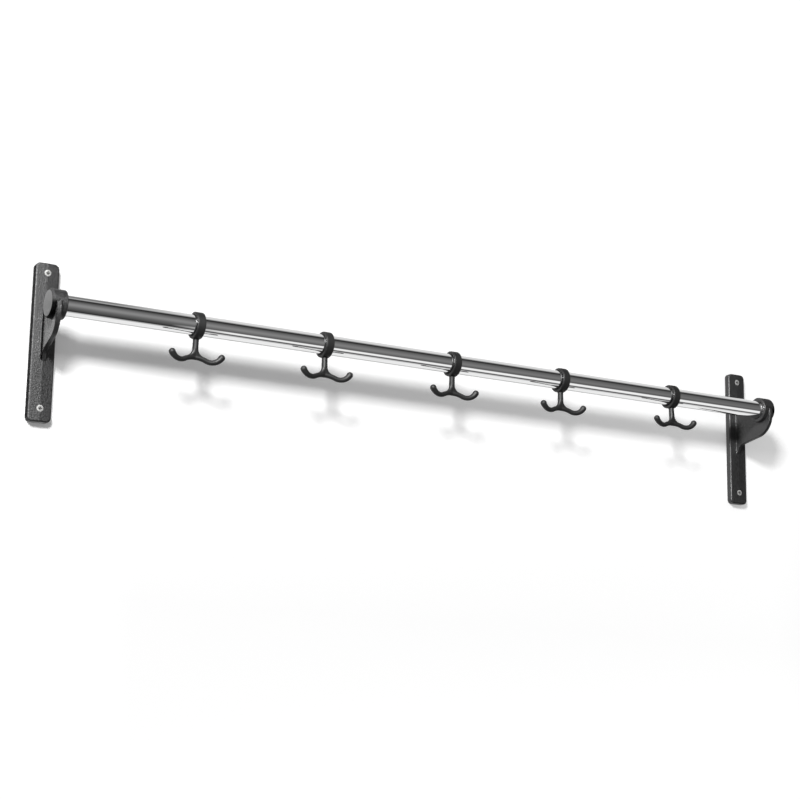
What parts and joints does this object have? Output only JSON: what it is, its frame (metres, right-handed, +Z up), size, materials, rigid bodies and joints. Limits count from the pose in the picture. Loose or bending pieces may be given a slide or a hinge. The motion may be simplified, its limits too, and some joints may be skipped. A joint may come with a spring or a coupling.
{
  "type": "sliding hook rail",
  "caption": "Wall rail with a round chromed tube held between two cast wall brackets and sliding double hooks that ring the tube.",
  "frame": {"origin": "on the wall plane, at the centre of the four wall screws", "axes": "+X along the rail to the right as seen from the room, +Y into the wall, +Z up"},
  "size_m": [1.096, 0.1168, 0.1944],
  "materials": {
    "bracket_black": "textured satin black powder coat on a casting",
    "hook_black": "satin black",
    "tube_chrome": "bright chrome",
    "screw_steel": "zinc plated"
  },
  "bodies": {
    "rail": {"left_bracket": "bracket_black", "right_bracket": "bracket_black", "tube": "tube_chrome", "wall_screws": "screw_steel"},
    "hook_1": {"hook_1": "hook_black"},
    "hook_2": {"hook_2": "hook_black"},
    "hook_3": {"hook_3": "hook_black"},
    "hook_4": {"hook_4": "hook_black"},
    "hook_5": {"hook_5": "hook_black"}
  },
  "joints": [
    {"name": "hook_1_slide", "type": "slide", "parent": "rail", "child": "hook_1", "axis": [1, 0, 0], "range_m": [-0.138, 0.051]},
    {"name": "hook_2_slide", "type": "slide", "parent": "rail", "child": "hook_2", "axis": [1, 0, 0], "range_m": [-0.051, 0.057]},
    {"name": "hook_3_slide", "type": "slide", "parent": "rail", "child": "hook_3", "axis": [1, 0, 0], "range_m": [-0.057, 0.049]},
    {"name": "hook_4_slide", "type": "slide", "parent": "rail", "child": "hook_4", "axis": [1, 0, 0], "range_m": [-0.049, 0.057]},
    {"name": "hook_5_slide", "type": "slide", "parent": "rail", "child": "hook_5", "axis": [1, 0, 0], "range_m": [-0.057, 0.127]}
  ]
}
